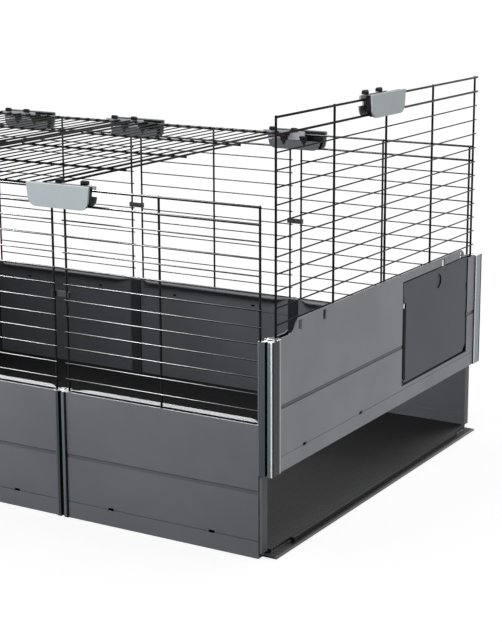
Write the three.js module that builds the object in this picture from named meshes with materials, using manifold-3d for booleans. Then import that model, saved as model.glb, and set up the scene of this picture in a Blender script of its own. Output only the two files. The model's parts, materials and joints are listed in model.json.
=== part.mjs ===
// A modular cage for rabbits and guinea pigs: plastic wall panels on floor trays, wire
// grilles above them, hinged roof lids and sliding top clips. The right end wall is
// shown slid up out of the base. Millimetres; X runs along the cage, Y from front to
// back and Z up. The origin is under the middle of the cage, on the ground.
// Each wall is drawn along u, with v across it (outside negative, inside positive).
import * as THREE from 'three';
import { mergeVertices } from 'three/addons/utils/BufferGeometryUtils.js';
import Module from 'manifold-3d';

const wasm = await Module();
wasm.setup();

// Driving dimensions
const module_pitch = 350;
const wall_span = 700;
const grille_top = 500;
const panel_height = 195;
const end_wall_lift = 120;
const fit_gap = 0.3;
const overrun = 1;

// Connector profiles, seen from above: flanges outside and inside the wall, and a web
const profile_half_depth = 10;
const flange_wall = 2;
const web_half_width = 4.4;
const hook_width = 1.6;
const hook_depth = 1.6;
const head_width = 3.2;
const groove_width = 5.6;
const groove_depth = 5;
const core_hole_width = 4;
const core_hole_depth = 6;
const corner_reach = 12.5;
const corner_groove_start = 1.5;
const corner_groove_width = 4;
const side_groove_start = 2.6;
const side_groove_width = 2;
const side_groove_depth = 1.4;

// Wall panels: a moulded double wall, open below
const inner_face = 5.2;
const outer_skin = 2.6;
const inner_skin = 2.2;
const top_skin = 3;
const end_skin = 5.4;
const band_height = 32;
const band_step = 1;
const plinth_height = 28;
const stripe_bottom = 94;
const stripe_height = 6;
const line_bottom = 25;
const line_height = 1.4;
const line_depth = 0.8;
const low_slot_width = 10;
const low_slot_height = 5;
const low_slot_level = 26;
const band_slot_width = 8;
const band_slot_height = 4;
const band_slot_drop = 23;
const trench_depth = 8;
const ledge_reach = 19;
const ledge_thickness = 2.2;
const ledge_drop = 0.6;
const ledge_inset = 2;
const ledge_taper = 26;

// End wall panels: the middle rises above the ends by an S-shaped step
const end_rise = 18.5;
const rise_start = 35;
const rise_width = 20;
const lip_rise = 8;
const hang_slot_width = 9;
const hang_slot_height = 15;
const hang_slot_drop = 3;
const hang_slot_inset = 109;
const hang_slot_spread = 36;
const hang_window_margin = 15;
const hang_window_drop = 5;
const foot_pad_width = 14;

// Door in the right end wall and its hinge bar
const door_inset = 45;
const door_width = 251;
const door_bottom = 33;
const door_rise = 5;
const door_gap = 1.6;
const door_sill_gap = 2.5;
const door_frame = 3;
const door_recess = 1;
const door_thickness = 3;
const door_corner = 12;
const hinge_offset = 7.5;
const hinge_depth = 3.4;
const knuckle_radius = 4;
const knuckle_height = 11;
const lug_plate_height = 4.5;
const ear_drop = 35;
const hinge_bar_radius = 4.5;
const hinge_bar_gap = 1;
const hinge_bar_top_gap = 8;
const pin_radius = 1.8;
const pin_clearance = 0.4;
const catch_radius = 10;
const catch_reach = 3;
const catch_shares = [0.39, 0.69];
const finger_radius = 12;
const finger_depth = 1.8;
const finger_offset = 126;
const finger_drop = 22;

// Floor trays
const floor_top = 8;
const tray_skin = 3;
const tray_rim = 12;
const tray_pocket_count = 3;
const tray_pocket_gap = 4;
const lip_thickness = 3;
const lip_inset = 3;
const bead_height = 8;
const bead_inset = 65;
const bead_gap = 0.6;

// Wire
const thick_radius = 1.8;
const thin_radius = 1.1;
const weld_depth = 0.25;
const lowest_wire_rise = 18.8;
const grille_inset = 11.5;
const end_grille_inset = 18;
const wire_tip = 2;
const socket_depth = 15;
const socket_gap = 0.6;

// Roof lids
const lid_edge_inset = 8.1;
const lid_cross_inset = 11.5;
const lid_tip = 4;

// Clips at mid height between neighbouring grilles
const mid_clip_level = 335.5;
const mid_clip_height = 9;
const mid_clip_wall = 1.9;

// Top clips
const clip_half_width = 56;
const clip_foot_half_width = 42;
const clip_side_drop = 14;
const clip_side_lean = 2;
const clip_height = 35;
const clip_rise = 5.5;
const cover_thickness = 3.3;
const core_thickness = 8;
const core_inset = 1;
const post_width = 12;
const post_height = 7.5;
const post_offset = 32;
const plate_thickness = 2.5;
const plate_drop = 17.5;
const tab_width = 14;
const tab_offset = 21;
const tab_thickness = 3;
const tab_reach = 8;
const slider_thickness = 2.8;
const slider_half_length = 43;
const slider_end_length = 10;
const slider_end_height = 8;
const slider_rise = 0.5;
const slider_offset = 22.5;
const lug_width = 12;
const lug_height = 6.3;
const lug_reach = 6.3;
const lug_gap = 0.5;
const side_clip_lid_pitches = 3.5;
const end_clip_offset = -16;
const front_cover_shift = 11.5;
const end_cover_shift = -9;

// Names, counts and finenesses
const module_names = ['left', 'middle', 'right'];
const joint_names = ['left', 'right'];
const lid_names = ['left', 'middle'];
const level_wire_count = 13;
const lid_wire_count = 15;
const thick_edge_wires = 2;
const end_slot_shares = [-3, -1];
const lid_cross_count = 5;
const thick_sides = 4;
const thin_sides = 3;
const pin_sides = 8;
const round_sides = 16;
const curve_steps = 3;

// Places that follow from the sizes above
const end_joint = module_names.length * module_pitch / 2;
const half_span = wall_span / 2;
const end_plane = end_joint + corner_reach - profile_half_depth;
const profile_half_width = web_half_width + fit_gap + head_width + fit_gap + hook_width;
const corner_side_reach = profile_half_depth + fit_gap + head_width + fit_gap + hook_width;
const panel_half_depth = profile_half_depth - flange_wall - fit_gap;
const cavity_outside = outer_skin - panel_half_depth;
const cavity_inside = inner_face - inner_skin;
const panel_half = module_pitch / 2 - profile_half_width - fit_gap;
const end_panel_half = half_span - corner_side_reach - fit_gap;
const hang_slot_offset = half_span - hang_slot_inset;
const door_right = half_span - door_inset;
const door_left = door_right - door_width;
const door_top = panel_height + door_rise;
const ear_bottom = door_top - ear_drop;
const hinge_u = door_left + hinge_offset;
const top_wire_level = grille_top - thick_radius;
const lowest_wire_level = panel_height + lowest_wire_rise;
const level_wire_pitch = (top_wire_level - lowest_wire_level) / (level_wire_count - 1);
const lid_cross_level = grille_top + fit_gap - thick_radius;
const tab_top = lid_cross_level - thick_radius - fit_gap;
const slider_face = thick_radius + fit_gap;
const plate_face = slider_face + slider_thickness + fit_gap;
const clip_top = grille_top + clip_rise;
const lid_wire_pitch = (module_pitch - 2 * lid_edge_inset) / (lid_wire_count - 1);

// Finishes
const finish = (color, roughness, metalness = 0) =>
  new THREE.MeshStandardMaterial({ color, roughness, metalness });
const panel_grey = finish('#66676c', 0.45);
const end_panel_grey = finish('#7b7d82', 0.45);
const door_grey = finish('#55585c', 0.45);
const profile_grey = finish('#5e6a6d', 0.4);
const floor_black = finish('#2b2b2b', 0.55);
const wire_black = finish('#1a1a1a', 0.35, 0.4);
const hinge_black = finish('#1c1c1e', 0.4);
const clip_silver = finish('#aab3b8', 0.35);
const clip_black = finish('#17181a', 0.4);
const slider_grey = finish('#c2c6cb', 0.4);
const mid_clip_grey = finish('#3c3e40', 0.3);

// A closed geometry as a solid for joining and cutting
function solid(geometry) {
  const bare = geometry.clone();
  bare.deleteAttribute('normal');
  bare.deleteAttribute('uv');
  const merged = mergeVertices(bare);
  return new wasm.Manifold(new wasm.Mesh({
    numProp: 3,
    vertProperties: merged.attributes.position.array,
    triVerts: new Uint32Array(merged.index.array),
  }));
}

function geometry_of(made) {
  const mesh = made.getMesh();
  const geometry = new THREE.BufferGeometry();
  geometry.setAttribute('position', new THREE.BufferAttribute(mesh.vertProperties, 3));
  geometry.setIndex(new THREE.BufferAttribute(mesh.triVerts, 1));
  geometry.computeVertexNormals();
  return geometry;
}

function join(solids) {
  return solids.reduce((all, next) => all.add(next));
}

function cut(body, cutters) {
  return cutters.reduce((left, cutter) => left.subtract(cutter), body);
}

// A box between two levels on each of the three axes
function block([x0, x1], [y0, y1], [z0, z1]) {
  const box = new THREE.BoxGeometry(x1 - x0, y1 - y0, z1 - z0);
  box.translate((x0 + x1) / 2, (y0 + y1) / 2, (z0 + z1) / 2);
  return solid(box);
}

// The stretch of a given width around a middle
function around(middle, width) {
  return [middle - width / 2, middle + width / 2];
}

function shape_of(points) {
  return new THREE.Shape(points.map(([x, y]) => new THREE.Vector2(x, y)));
}

function extruded(shape, depth) {
  const options = { depth, bevelEnabled: false, curveSegments: curve_steps };
  return new THREE.ExtrudeGeometry(shape, options);
}

// A plan outline raised from one level to another
function raised(shape, [z0, z1]) {
  const geometry = extruded(shape, z1 - z0);
  geometry.translate(0, 0, z0);
  return solid(geometry);
}

// An upright outline, drawn in u and z, pushed through the wall from v0 to v1
function pushed(shape, [v0, v1]) {
  const geometry = extruded(shape, v1 - v0);
  geometry.rotateX(Math.PI / 2);
  geometry.translate(0, v1, 0);
  return solid(geometry);
}

// A round or many-sided bar along Z, with its middle at the origin
function bar_of(radius, sides, length) {
  const ring = Array.from({ length: sides }, (_, i) => {
    const angle = 2 * Math.PI * i / sides;
    return [radius * Math.cos(angle), radius * Math.sin(angle)];
  });
  const bar = extruded(shape_of(ring), length);
  bar.translate(0, 0, -length / 2);
  return bar;
}

// An upright bar
function upright(radius, sides, u, v, [z0, z1]) {
  const bar = bar_of(radius, sides, z1 - z0);
  bar.translate(u, v, (z0 + z1) / 2);
  return solid(bar);
}

// A round bar straight through the wall
function through(radius, u, z, [v0, v1]) {
  const bar = bar_of(radius, round_sides, v1 - v0);
  bar.rotateX(Math.PI / 2);
  bar.translate(u, (v0 + v1) / 2, z);
  return solid(bar);
}

// A thin wire has three sides and a thick one four
function wire_sides(radius) {
  return radius < thick_radius ? thin_sides : thick_sides;
}

// A level wire along u that turns a ridge inwards, to the uprights that it is welded to
function level_wire(radius, length, v, z) {
  const bar = bar_of(radius, wire_sides(radius), length);
  bar.rotateZ(Math.PI / 2);
  bar.rotateY(Math.PI / 2);
  bar.translate(0, v, z);
  return solid(bar);
}

// A long wire of a lid, along Y, that turns a ridge down to the cross wires
function long_wire(radius, length, x, z) {
  const bar = bar_of(radius, wire_sides(radius), length);
  bar.rotateZ(Math.PI / 2);
  bar.rotateX(-Math.PI / 2);
  bar.translate(x, 0, z);
  return solid(bar);
}

// The distance between the middles of two welded layers of wire
function layer_step(radius) {
  return thick_radius + radius - weld_depth;
}

// A wall grille: thick uprights with level wires welded outside them, the top two thick
function wall_grille(reach, foot_levels) {
  const pitch = 2 * reach / (foot_levels.length - 1);
  const wires = foot_levels.map((foot, i) =>
    upright(thick_radius, thick_sides, i * pitch - reach, 0, [foot, grille_top]));
  const length = 2 * (reach + thick_radius + wire_tip);
  for (let i = 0; i < level_wire_count; i++) {
    const radius = i < thick_edge_wires ? thick_radius : thin_radius;
    const level = top_wire_level - i * level_wire_pitch;
    wires.push(level_wire(radius, length, -layer_step(radius), level));
  }
  return geometry_of(join(wires));
}

// A roof lid: cross wires along the cage with the long wires welded on top of them, the
// two outermost on each side thick
function roof_lid() {
  const half_width = module_pitch / 2 - lid_edge_inset;
  const half_length = half_span - lid_cross_inset;
  const cross_pitch = 2 * half_length / (lid_cross_count - 1);
  const wires = [];
  for (let i = 0; i < lid_cross_count; i++) {
    const y = i * cross_pitch - half_length;
    wires.push(level_wire(thick_radius, 2 * (half_width + thick_radius), y, lid_cross_level));
  }
  for (let i = 0; i < lid_wire_count; i++) {
    const from_edge = Math.min(i, lid_wire_count - 1 - i);
    const radius = from_edge < thick_edge_wires ? thick_radius : thin_radius;
    wires.push(long_wire(radius, 2 * (half_length + lid_tip),
      i * lid_wire_pitch - half_width, lid_cross_level + layer_step(radius)));
  }
  return geometry_of(join(wires));
}

// The straight connector profile: an H with hooked flanges, a groove in its outer face
// and a hollow core
function straight_profile() {
  const w = profile_half_width;
  const d = profile_half_depth;
  const inside = d - flange_wall;
  const hook_face = w - hook_width;
  const hook_tip = inside - hook_depth;
  const pocket = (side) => [
    [side * w, -d], [side * w, -hook_tip], [side * hook_face, -hook_tip],
    [side * hook_face, -inside], [side * web_half_width, -inside],
    [side * web_half_width, inside], [side * hook_face, inside],
    [side * hook_face, hook_tip], [side * w, hook_tip], [side * w, d],
  ];
  const body = raised(shape_of([...pocket(1), ...pocket(-1).reverse()]), [0, panel_height]);
  const through_height = [-overrun, panel_height + overrun];
  return geometry_of(cut(body, [
    block(around(0, groove_width), [-d - overrun, groove_depth - d], through_height),
    block(around(0, core_hole_width), [inside - core_hole_depth, inside], through_height),
  ]));
}

// The corner connector profile about the front joint line. The front panel enters it
// from the left and the end panel from the back; side is -1 for its mirror image.
function corner_profile(side) {
  const w = profile_half_width;
  const d = profile_half_depth;
  const inside = d - flange_wall;
  const hook_face = w - hook_width;
  const hook_tip = inside - hook_depth;
  const outer = corner_reach;
  const inner = outer - 2 * d;
  const outer_pocket = outer - flange_wall;
  const inner_pocket = inner + flange_wall;
  const tip = corner_side_reach;
  const tip_hook = tip - hook_width;
  const outline = [
    [-w, -d], [outer, -d], [outer, tip], [outer_pocket - hook_depth, tip],
    [outer_pocket - hook_depth, tip_hook], [outer_pocket, tip_hook], [outer_pocket, d],
    [inner_pocket, d], [inner_pocket, tip_hook], [inner_pocket + hook_depth, tip_hook],
    [inner_pocket + hook_depth, tip], [inner, tip], [inner, d], [-w, d], [-w, hook_tip],
    [-hook_face, hook_tip], [-hook_face, inside], [-web_half_width, inside],
    [-web_half_width, -inside], [-hook_face, -inside], [-hook_face, -hook_tip],
    [-w, -hook_tip],
  ];
  const foot = lip_thickness + fit_gap;
  const through_height = [foot - overrun, panel_height + overrun];
  const groove = [corner_groove_start, corner_groove_start + corner_groove_width];
  const side_groove = [side_groove_start - d, side_groove_start + side_groove_width - d];
  const mirrored = (range) => (side > 0 ? range : [-range[1], -range[0]]);
  const body = raised(shape_of(outline.map(([x, y]) => [x, side * y])), [foot, panel_height]);
  return geometry_of(cut(body, [
    block(groove, mirrored([-d - overrun, groove_depth - d]), through_height),
    block([outer - side_groove_depth, outer + overrun], mirrored(side_groove), through_height),
    block([-core_hole_width / 2, outer_pocket - flange_wall],
      mirrored([0, core_hole_depth]), through_height),
  ]));
}

// The upright outline of a wall panel: level, or raised in the middle by an S step
function panel_outline(half, bottom, top, rise) {
  const shape = new THREE.Shape();
  shape.moveTo(-half, bottom);
  shape.lineTo(half, bottom);
  shape.lineTo(half, top);
  if (rise > 0) {
    const outer = end_panel_half - rise_start;
    const inner = outer - rise_width;
    const middle = (outer + inner) / 2;
    shape.lineTo(outer, top);
    shape.bezierCurveTo(middle, top, middle, top + rise, inner, top + rise);
    shape.lineTo(-inner, top + rise);
    shape.bezierCurveTo(-middle, top + rise, -middle, top, -outer, top);
  }
  shape.lineTo(-half, top);
  return shape;
}

// The neck and head on a panel's end, seen from above, which the profile's hooks hold
function panel_head(side, half, bottom) {
  const neck_half = panel_half_depth - hook_depth;
  const neck = half + hook_width + 2 * fit_gap;
  const head = neck + head_width;
  const outline = [
    [half - hook_width, -neck_half], [neck, -neck_half], [neck, -panel_half_depth],
    [head, -panel_half_depth], [head, panel_half_depth], [neck, panel_half_depth],
    [neck, neck_half], [half - hook_width, neck_half],
  ];
  return raised(shape_of(outline.map(([u, v]) => [side * u, v])), [bottom, panel_height]);
}

// A row of slots of one size through the given stretch of the wall's depth
function slots(offsets, width, height, level, depth) {
  return offsets.map((u) => block(around(u, width), depth, around(level, height)));
}

// The double wall shared by all panels, with its stripe, lines, heads and slots, and a
// trench along its top in which the grille stands
function double_wall({ half, rise, skin_bottom, wall_bottom, low_slots, band_slots, kept }) {
  const low_rise = Math.max(rise - lip_rise, 0);
  const along = [-half, half];
  const past_face = [-panel_half_depth - overrun, line_depth - panel_half_depth];
  const past_ends = [-half - overrun, half + overrun];
  const step_depth = [cavity_inside, inner_face + band_step];
  const outside = [-panel_half_depth, cavity_outside];
  const shell = join([
    pushed(panel_outline(half, skin_bottom, panel_height, rise), outside),
    pushed(panel_outline(half, wall_bottom, panel_height, low_rise),
      [cavity_outside - outer_skin / 2, inner_face]),
    block(along, step_depth, [panel_height - band_height, panel_height]),
    block(along, step_depth, [wall_bottom, plinth_height]),
  ]);
  const inside = [end_skin - half, half - end_skin];
  const between = [cavity_outside, cavity_inside];
  const trench_floor = panel_height - trench_depth;
  const hollow = block(inside, between, [skin_bottom - overrun, trench_floor - top_skin]);
  const trench = block(inside, between, [trench_floor, panel_height + rise + overrun]);
  const body = cut(shell, [
    cut(hollow, kept),
    cut(trench, kept),
    block(past_ends, past_face, [stripe_bottom, stripe_bottom + stripe_height]),
    block(past_ends, past_face, [line_bottom, line_bottom + line_height]),
    ...slots(low_slots, low_slot_width, low_slot_height, low_slot_level,
      [-panel_half_depth - overrun, cavity_outside + overrun]),
    ...slots(band_slots, band_slot_width, band_slot_height, panel_height - band_slot_drop,
      [cavity_inside - overrun, inner_face + band_step + overrun]),
  ]);
  const head_bottom = Math.max(wall_bottom, skin_bottom);
  return join([body, panel_head(1, half, head_bottom), panel_head(-1, half, head_bottom)]);
}

// The square holes that the uprights of a grille stand in
function sockets(reach, foot_levels) {
  const pitch = 2 * reach / (foot_levels.length - 1);
  return foot_levels.map((foot, i) => upright(thick_radius + socket_gap, thick_sides,
    i * pitch - reach, 0, [foot - fit_gap, grille_top]));
}

// A shelf with S-shaped ends on the inside of a module's panel
function ledge() {
  const start = panel_half - ledge_inset;
  const end = start - ledge_taper;
  const middle = (start + end) / 2;
  const top = panel_height - ledge_drop;
  const outline = new THREE.Shape();
  outline.moveTo(-start, cavity_inside);
  outline.lineTo(start, cavity_inside);
  outline.lineTo(start, inner_face + band_step);
  outline.bezierCurveTo(middle, inner_face + band_step, middle, ledge_reach, end, ledge_reach);
  outline.lineTo(-end, ledge_reach);
  outline.bezierCurveTo(-middle, ledge_reach, -middle, inner_face + band_step,
    -start, inner_face + band_step);
  return raised(outline, [top - ledge_thickness, top]);
}

const module_grille_reach = module_pitch / 2 - grille_inset;
const low_foot = panel_height - socket_depth;
const module_feet = [low_foot, low_foot, low_foot];
const slot_offset = module_pitch / 4;

function module_panel() {
  const wall = double_wall({
    half: panel_half,
    rise: 0,
    skin_bottom: 0,
    wall_bottom: floor_top + fit_gap,
    low_slots: [-slot_offset, slot_offset],
    band_slots: [-slot_offset, slot_offset],
    kept: [],
  });
  return geometry_of(cut(join([wall, ledge()]), sockets(module_grille_reach, module_feet)));
}

const end_slot_offset = wall_span / 8;
const end_grille_reach = half_span - end_grille_inset;
const raised_foot = door_top + fit_gap + socket_gap;
const end_feet = [low_foot, raised_foot, raised_foot, raised_foot, low_foot];

// The bumps on the right edge of the door opening that the door snaps behind
function catch_bars(extra) {
  const middle = door_right + catch_radius - catch_reach;
  const depth = [-panel_half_depth, door_recess + door_thickness - panel_half_depth];
  return catch_shares.map((share) => through(catch_radius + extra, middle,
    door_bottom + share * (door_top - door_bottom), [depth[0] - extra, depth[1] + extra]));
}

// The wall of either end; the right one has the door opening, and no low slots below it
function end_panel(has_door) {
  const slotted_sides = has_door ? [1] : [1, -1];
  const foot = lip_thickness + fit_gap;
  const wall_depth = [-panel_half_depth, inner_face];
  const frame = block([door_left - door_frame, door_right + door_frame],
    wall_depth, [door_bottom - door_frame, door_top + door_frame]);
  const foot_pitch = 2 * end_grille_reach / (end_feet.length - 1);
  const pads = [-foot_pitch, 0, foot_pitch].map((u) => block(around(u, foot_pad_width),
    wall_depth, [panel_height - trench_depth - top_skin, panel_height + end_rise - lip_rise]));
  const wall = double_wall({
    half: end_panel_half,
    rise: end_rise,
    skin_bottom: foot,
    wall_bottom: foot,
    low_slots: slotted_sides.flatMap((side) =>
      end_slot_shares.map((share) => side * share * end_slot_offset)),
    band_slots: [-end_slot_offset],
    kept: has_door ? [frame, ...pads] : pads,
  });
  const hang_level = panel_height + end_rise - hang_slot_drop - hang_slot_height / 2;
  const hang_offsets = [-1, 1].flatMap((side) =>
    around(side * hang_slot_offset, hang_slot_spread * 2));
  const skin_depth = [-panel_half_depth - overrun, cavity_outside + overrun];
  const window_width = 2 * (hang_slot_spread + hang_window_margin);
  const windows = [-1, 1].map((side) => block(around(side * hang_slot_offset, window_width),
    [cavity_outside, inner_face + band_step + overrun],
    [hang_level - hang_slot_height / 2 - hang_window_drop, panel_height + end_rise]));
  const cutters = [
    ...sockets(end_grille_reach, end_feet),
    ...slots(hang_offsets, hang_slot_width, hang_slot_height, hang_level, skin_depth),
    ...windows,
  ];
  if (!has_door) return geometry_of(cut(wall, cutters));
  const opening = block([door_left, door_right],
    [-panel_half_depth - overrun, inner_face + band_step + overrun], [door_bottom, door_top]);
  const pin_hole = upright(pin_radius + pin_clearance, pin_sides, hinge_u, -hinge_depth,
    [door_bottom - door_frame - overrun, door_bottom + overrun]);
  return geometry_of(cut(wall, [...cutters, cut(opening, catch_bars(0)), pin_hole]));
}

const door_low = door_bottom + door_sill_gap;
const door_high = door_top - door_gap;

// The door: a plate with an ear and a lug that carry its two hinge knuckles
function door() {
  const edge = door_right - door_gap;
  const plate_left = hinge_u + hinge_bar_radius + hinge_bar_gap;
  const ear_left = hinge_u - knuckle_radius;
  const face = door_recess - panel_half_depth;
  const depth = [face, face + door_thickness];
  const plate = pushed(shape_of([
    [plate_left, door_low], [edge - door_corner, door_low], [edge, door_low + door_corner],
    [edge, door_high], [ear_left, door_high], [ear_left, ear_bottom],
    [plate_left, ear_bottom],
  ]), depth);
  const lug = [door_low, door_low + lug_plate_height];
  const knuckle = [ear_bottom, ear_bottom + knuckle_height];
  const plate_lug = block([hinge_u, plate_left + overrun], depth, lug);
  const knuckles = [lug, knuckle].map((levels) =>
    upright(knuckle_radius, pin_sides, hinge_u, -hinge_depth, levels));
  const bores = [lug, knuckle].map(([z0, z1]) => upright(pin_radius + pin_clearance,
    pin_sides, hinge_u, -hinge_depth, [z0 - overrun, z1 + overrun]));
  const finger = through(finger_radius, hinge_u + finger_offset, door_top - finger_drop,
    [face - overrun, face + finger_depth]);
  return geometry_of(cut(join([plate, plate_lug, ...knuckles]),
    [...bores, ...catch_bars(door_gap), finger]));
}

// The bar that the door hangs on, with a thin pin at each end
function door_hinge_bar() {
  const bar_bottom = door_low + lug_plate_height + hinge_bar_gap;
  const bar = [bar_bottom, ear_bottom - hinge_bar_top_gap];
  const pin = [door_bottom - door_frame + fit_gap, ear_bottom + knuckle_height / 2];
  return geometry_of(join([
    upright(hinge_bar_radius, pin_sides, hinge_u, -hinge_depth, bar),
    upright(pin_radius, pin_sides, hinge_u, -hinge_depth, pin),
  ]));
}

// A floor tray under one module, open below in pockets. An end tray stops inside the
// end wall and has a lip under it with a bead that the wall drops over.
function floor_tray(is_end) {
  const joint = module_pitch / 2;
  const half_depth = half_span - cavity_outside - fit_gap;
  const wall_plane = joint + corner_reach - profile_half_depth;
  const near = fit_gap / 2 - joint;
  const far = is_end ? wall_plane - inner_face - band_step - fit_gap : -near;
  const full_height = [-overrun, floor_top + overrun];
  const room = 2 * (half_depth - tray_rim) + tray_pocket_gap;
  const pocket_pitch = room / tray_pocket_count;
  const pockets = Array.from({ length: tray_pocket_count }, (_, i) => block(
    [near + tray_rim, far - tray_rim],
    around((i + 1 / 2) * pocket_pitch - room / 2, pocket_pitch - tray_pocket_gap),
    [-overrun, floor_top - tray_skin]));
  const notch_width = 2 * (profile_half_width + fit_gap);
  const notch_near = half_span - profile_half_depth - fit_gap;
  const corner_near = half_span - corner_side_reach - fit_gap;
  const past_edge = half_depth + overrun;
  const corner = [joint - notch_width / 2, far + overrun];
  const both_sides = (y0, y1) => [[y0, y1], [-y1, -y0]];
  const notches = both_sides(notch_near, past_edge).flatMap((depth) => [
    block(around(-joint, notch_width), depth, full_height),
    ...(is_end ? [] : [block(around(joint, notch_width), depth, full_height)]),
  ]);
  const corners = both_sides(corner_near, past_edge).map((depth) =>
    block(corner, depth, full_height));
  const body = block([near, far], [-half_depth, half_depth], [0, floor_top]);
  const plain = cut(body, [...pockets, ...notches, ...(is_end ? corners : [])]);
  if (!is_end) return geometry_of(plain);
  const lip_half = half_span - lip_inset;
  const bead_half = half_span - bead_inset;
  const bead = [wall_plane - cavity_inside + bead_gap, wall_plane - cavity_outside - bead_gap];
  return geometry_of(join([
    plain,
    block([corner[0] - overrun, joint + corner_reach], [-lip_half, lip_half],
      [0, lip_thickness]),
    block(bead, [-bead_half, bead_half], [0, lip_thickness + bead_height]),
  ]));
}

// A clip that wraps the inner side of two neighbouring uprights
function mid_clip() {
  const inside = grille_inset + thick_radius + fit_gap;
  const outside = inside + mid_clip_wall;
  const outline = [
    [-outside, -thick_radius], [-inside, -thick_radius], [-inside, slider_face],
    [inside, slider_face], [inside, -thick_radius], [outside, -thick_radius],
    [outside, slider_face + mid_clip_wall], [-outside, slider_face + mid_clip_wall],
  ];
  const levels = [mid_clip_level, mid_clip_level + mid_clip_height];
  return geometry_of(raised(shape_of(outline), levels));
}

// The upright outline of a top clip: leaning sides that round into a narrower foot
function clip_outline(inset, middle) {
  const top = clip_top - inset;
  const side = clip_top - clip_side_drop;
  const foot = clip_top - clip_height + inset;
  const half = clip_half_width - inset;
  const waist = half - clip_side_lean;
  const bend = waist - clip_side_lean;
  const foot_half = clip_foot_half_width - inset;
  const outline = new THREE.Shape();
  outline.moveTo(middle - half, top);
  outline.lineTo(middle - waist, side);
  outline.quadraticCurveTo(middle - bend, foot, middle - foot_half, foot);
  outline.lineTo(middle + foot_half, foot);
  outline.quadraticCurveTo(middle + bend, foot, middle + waist, side);
  outline.lineTo(middle + half, top);
  return outline;
}

const core_back = -layer_step(thick_radius) - thick_radius - fit_gap;
const core_front = core_back - core_thickness;
const plate_top = clip_top - plate_drop;

function clip_cover() {
  const back = core_front - fit_gap;
  return geometry_of(pushed(clip_outline(0, 0), [back - cover_thickness, back]));
}

// The core of a top clip: a slab outside the two top wires, and posts between them to an
// inner plate of the same outline, cut off below the slider. Its tabs carry the lid and
// stay at the joint, where slab and plate are shifted along the wires with the cover.
function clip_core(shift) {
  const plate_depth = [plate_face, plate_face + plate_thickness];
  const post_depth = [core_back - overrun, plate_face + overrun];
  const pieces = [-1, 1].flatMap((side) => {
    const tab = around(side * tab_offset, tab_width);
    return [
      block(around(side * post_offset, post_width), post_depth,
        [plate_top - post_height, plate_top]),
      block(tab, plate_depth, [plate_top - overrun, tab_top]),
      block(tab, [plate_face, plate_face + tab_reach], [tab_top - tab_thickness, tab_top]),
    ];
  });
  const above = block(around(shift, 2 * clip_half_width), [plate_face - overrun, plate_face + tab_reach],
    [plate_top, clip_top]);
  return geometry_of(join([
    pushed(clip_outline(core_inset, shift), [core_front, core_back]),
    cut(pushed(clip_outline(core_inset, shift), plate_depth), [above]),
    ...pieces,
  ]));
}

// The slider between grille and inner plate, with narrower ends and two lugs that reach
// over the lid wires
function clip_slider() {
  const depth = [slider_face, slider_face + slider_thickness];
  const lug_foot = lid_cross_level + layer_step(thick_radius) + thick_radius + lug_gap;
  const lugs = [-1, 1].flatMap((side) => {
    const along = around(side * slider_offset, lug_width);
    return [
      block(along, depth, [lug_foot - overrun, lug_foot + lug_height]),
      block(along, [slider_face, slider_face + lug_reach], [lug_foot, lug_foot + lug_height]),
    ];
  });
  const middle_half = slider_half_length - slider_end_length;
  return geometry_of(join([
    block([-middle_half, middle_half], depth, [plate_top + slider_rise, lug_foot]),
    block([-slider_half_length, slider_half_length], depth,
      [lug_foot - slider_end_height, lug_foot]),
    ...lugs,
  ]));
}

// The whole cage: each wall is a group, drawn as above and turned into its place
const cage = new THREE.Group();

function wall_group(x, y, turn, lift) {
  const group = new THREE.Group();
  group.position.set(x, y, lift);
  group.rotation.z = turn;
  cage.add(group);
  return group;
}

function add(group, name, geometry, material, [x, y, z], turn = 0) {
  const mesh = new THREE.Mesh(geometry, material);
  mesh.name = name;
  mesh.position.set(x, y, z);
  mesh.rotation.z = turn;
  group.add(mesh);
}

const origin = [0, 0, 0];
const module_middle = (i) => (i - (module_names.length - 1) / 2) * module_pitch;
const joint_line = (i) => module_middle(i) + module_pitch / 2;
const front_wall = wall_group(0, -half_span, 0, 0);
const back_wall = wall_group(0, half_span, Math.PI, 0);
const left_wall = wall_group(-end_plane, 0, -Math.PI / 2, 0);
const right_wall = wall_group(end_plane, 0, Math.PI / 2, end_wall_lift);

// Floor trays
const end_tray = floor_tray(true);
const middle_tray = floor_tray(false);
module_names.forEach((name, i) => {
  const is_first = i === 0;
  const is_last = i === module_names.length - 1;
  const tray = is_first || is_last ? end_tray : middle_tray;
  add(cage, `floor_tray_${name}`, tray, floor_black, [module_middle(i), 0, 0],
    is_first ? Math.PI : 0);
});

// Front and back walls
const panel_geometry = module_panel();
const grille_geometry = wall_grille(module_grille_reach, module_feet);
const connector_geometry = straight_profile();
const mid_clip_geometry = mid_clip();
for (const [side, wall, sign] of [['front', front_wall, 1], ['back', back_wall, -1]]) {
  module_names.forEach((name, i) => {
    const place = [sign * module_middle(i), 0, 0];
    add(wall, `${side}_panel_${name}`, panel_geometry, panel_grey, place);
    add(wall, `${side}_grille_${name}`, grille_geometry, wire_black, place);
  });
  joint_names.forEach((name, i) => {
    const place = [sign * joint_line(i), 0, 0];
    add(wall, `${side}_connector_${name}`, connector_geometry, profile_grey, place);
    add(wall, `${side}_mid_clip_${name}`, mid_clip_geometry, mid_clip_grey, place);
  });
}

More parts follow.
